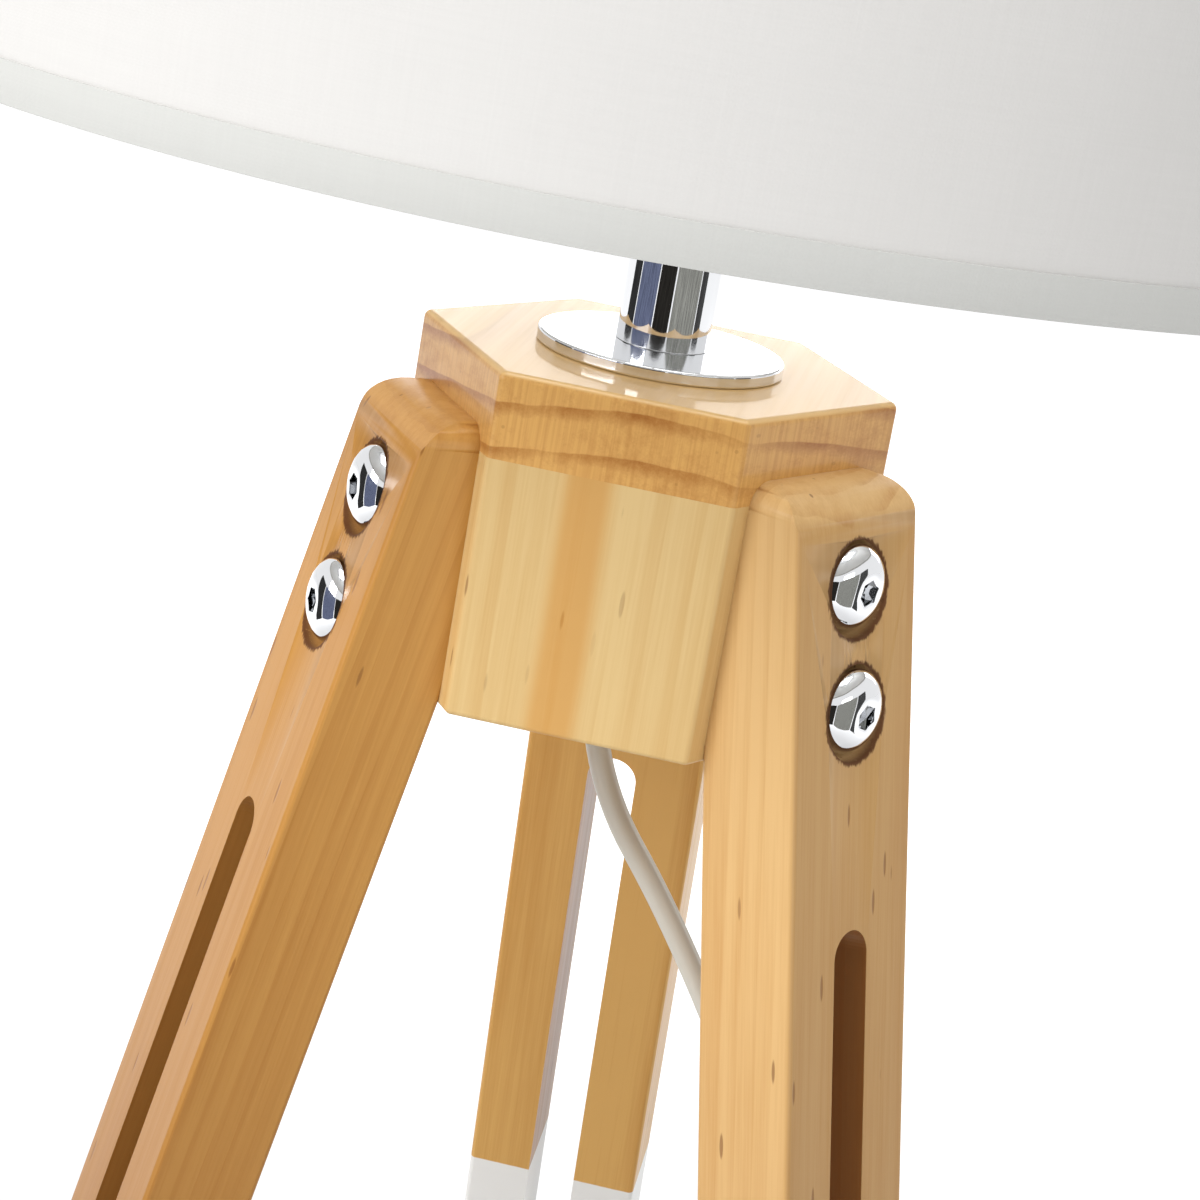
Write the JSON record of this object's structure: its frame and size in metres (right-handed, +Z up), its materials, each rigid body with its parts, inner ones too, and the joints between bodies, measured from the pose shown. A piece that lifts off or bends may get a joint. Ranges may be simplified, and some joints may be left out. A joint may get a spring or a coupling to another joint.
{
  "type": "table lamp",
  "caption": "Tripod table lamp: slotted wooden legs with dipped white feet, hexagonal head, plated tube, white drum shade, mains cord with inline switch and plug.",
  "frame": {"origin": "on the floor, under the lamp's axis", "axes": "+Z up along the lamp's axis; -Y towards the free face of the head between the two front legs; the rear leg is towards +Y"},
  "size_m": [0.3, 0.3, 0.6],
  "materials": {
    "leg_wood": "satin varnish, lower halves dipped in white paint",
    "block_wood": "satin varnish",
    "cap_wood": "gloss varnish",
    "felt": "matte felt",
    "chrome": "polished",
    "zinc": "zinc plated",
    "brass": "plain",
    "white_plastic": "smooth",
    "grip_plastic": "matte",
    "holder_plastic": "smooth",
    "ceramic": "glazed ceramic core",
    "cap_metal": "satin",
    "dark_insulator": "glassy black",
    "bulb_white": "opal, satin",
    "circuit": "white board",
    "shade_cloth": "fine plain weave, white",
    "shade_film": "white styrene backing",
    "hem_tape": "rolled hem, white",
    "white_wire": "white powder coat",
    "cord_pvc": "satin, off-white",
    "tie_strap": "matte strap"
  },
  "bodies": {
    "lamp": {"leg_right": "leg_wood", "leg_back": "leg_wood", "leg_left": "leg_wood", "foot_pads": "felt", "cap_plate": "cap_wood", "head_block": "block_wood", "leg_bolts": "chrome", "threaded_inserts": "brass", "flange_disc": "chrome", "chrome_tube": "chrome", "threaded_rod": "zinc", "rod_washer": "zinc", "rod_nuts": "zinc", "cord_grip": "grip_plastic", "inner_cord": "cord_pvc", "holder_base": "holder_plastic", "holder_sleeve": "holder_plastic", "socket_core": "ceramic", "socket_shell": "brass", "centre_contact": "brass", "cord_lead": "cord_pvc", "switch_base": "white_plastic", "switch_cover": "white_plastic", "switch_screws": "zinc", "switch_terminals": "brass", "cord_mid": "cord_pvc", "cord_coil": "cord_pvc", "coil_tie": "tie_strap", "cord_tail": "cord_pvc", "plug_body": "white_plastic", "plug_pins": "zinc"},
    "shade": {"shade_fabric": "shade_cloth", "shade_liner": "shade_film", "shade_hub": "white_wire", "shade_arms": "white_wire", "shade_bottom_ring": "white_wire", "shade_top_ring": "white_wire", "shade_bottom_hem": "hem_tape", "shade_top_hem": "hem_tape"},
    "bulb_lift": {"bulb_tip": "zinc"},
    "bulb": {"bulb_insulator": "dark_insulator", "bulb_cap": "cap_metal", "bulb_collar": "white_plastic", "led_board": "circuit", "bulb_globe": "bulb_white"},
    "ring_lift": {"clamp_washer": "holder_plastic"},
    "ring": {"clamp_ring": "holder_plastic"},
    "rocker": {"switch_rocker": "white_plastic"}
  },
  "joints": [
    {"name": "shade_turn", "type": "hinge", "parent": "lamp", "child": "shade", "pos_m": [0, 0, 0.4493], "axis": [0, 0, 1], "continuous": true},
    {"name": "bulb_rise", "type": "slide", "parent": "lamp", "child": "bulb_lift", "axis": [0, 0, 1], "range_m": [0, 0.0126]},
    {"name": "bulb_turn", "type": "hinge", "parent": "bulb_lift", "child": "bulb", "pos_m": [0, 0, 0.445], "axis": [0, 0, 1], "range_deg": [0, 1260]},
    {"name": "ring_rise", "type": "slide", "parent": "lamp", "child": "ring_lift", "axis": [0, 0, 1], "range_m": [0, 0.0119]},
    {"name": "ring_turn", "type": "hinge", "parent": "ring_lift", "child": "ring", "pos_m": [0, 0, 0.456], "axis": [0, 0, 1], "range_deg": [0, 1440]},
    {"name": "rocker_tilt", "type": "hinge", "parent": "lamp", "child": "rocker", "pos_m": [0.132, 0.071, 0.0106], "axis": [1, 0, 0], "range_deg": [0, 22]}
  ],
  "couplings": [
    {"joint": "bulb_turn", "follows": "bulb_rise", "rad_per_m": 1735.7},
    {"joint": "ring_turn", "follows": "ring_rise", "rad_per_m": 2094.4}
  ]
}
